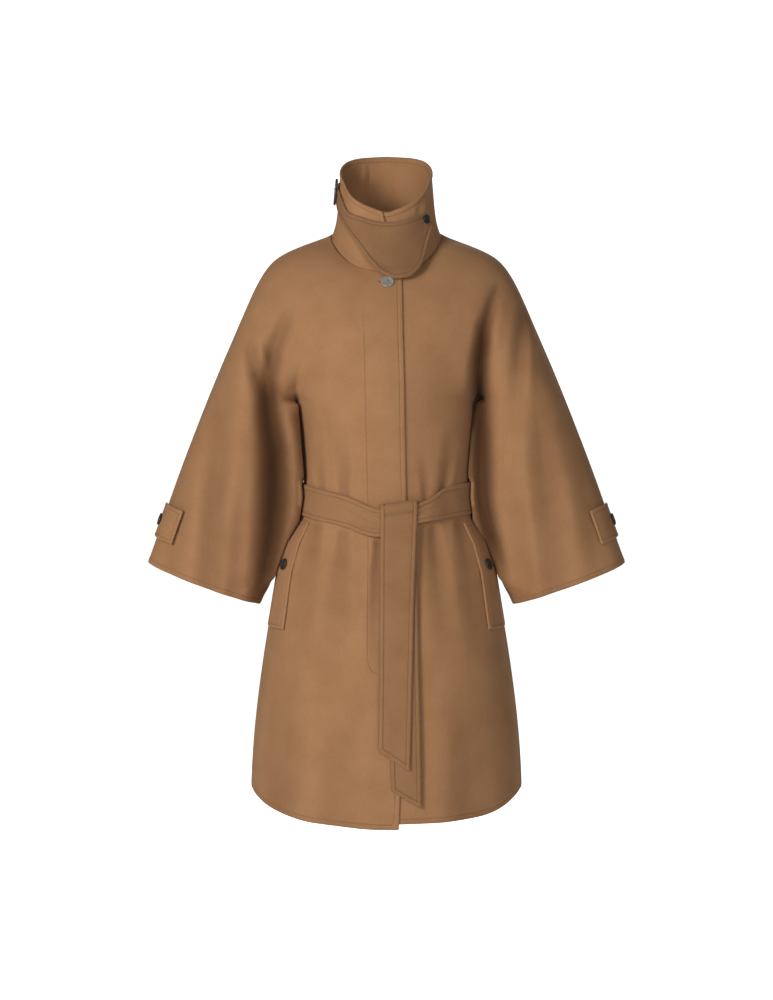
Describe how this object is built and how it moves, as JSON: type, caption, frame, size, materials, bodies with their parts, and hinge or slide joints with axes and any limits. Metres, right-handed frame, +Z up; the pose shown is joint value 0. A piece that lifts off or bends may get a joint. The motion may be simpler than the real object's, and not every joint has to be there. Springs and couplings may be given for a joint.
{
  "type": "belted wool cape",
  "caption": "Belted camel wool cape with wide grown-on sleeves, a funnel collar closed by a buckled flap, cuff tabs, side welt pockets and a knotted self belt",
  "frame": {"origin": "Middle of the neck base at shoulder level, where the wearer's shoulders hold the garment up", "axes": "+Z up, -Y the front of the garment, +X the wearer's left"},
  "size_m": [0.74, 0.32, 1.0187],
  "materials": {
    "front_right": "brushed double-faced wool, short soft nap",
    "front_left": "brushed double-faced wool, short soft nap",
    "back": "brushed double-faced wool, short soft nap",
    "collar": "brushed double-faced wool, short soft nap",
    "collar_flap": "brushed double-faced wool, short soft nap",
    "collar_chape": "brushed double-faced wool, short soft nap",
    "collar_buckle": "smooth dark leather over a rigid frame",
    "belt_waist": "brushed double-faced wool, short soft nap",
    "belt_tail_front": "brushed double-faced wool, short soft nap",
    "belt_tail_rear": "brushed double-faced wool, short soft nap",
    "cuff_tab_right": "brushed double-faced wool, short soft nap",
    "cuff_tab_left": "brushed double-faced wool, short soft nap",
    "pocket_welt_right": "brushed double-faced wool, short soft nap",
    "pocket_welt_left": "brushed double-faced wool, short soft nap",
    "front_button": "pale grey horn, satin, four holes",
    "collar_button": "dark horn, satin, four holes",
    "cuff_button_right": "dark horn, satin, four holes",
    "cuff_button_left": "dark horn, satin, four holes",
    "pocket_button_right": "dark horn, satin, four holes",
    "pocket_button_left": "dark horn, satin, four holes"
  },
  "bodies": {
    "root": {"front_right": "front_right", "front_left": "front_left", "back": "back", "collar": "collar", "collar_flap": "collar_flap", "collar_chape": "collar_chape", "collar_buckle": "collar_buckle", "belt_waist": "belt_waist", "belt_tail_front": "belt_tail_front", "belt_tail_rear": "belt_tail_rear", "cuff_tab_right": "cuff_tab_right", "cuff_tab_left": "cuff_tab_left", "pocket_welt_right": "pocket_welt_right", "pocket_welt_left": "pocket_welt_left", "front_button": "front_button", "collar_button": "collar_button", "cuff_button_right": "cuff_button_right", "cuff_button_left": "cuff_button_left", "pocket_button_right": "pocket_button_right", "pocket_button_left": "pocket_button_left"}
  },
  "joints": []
}
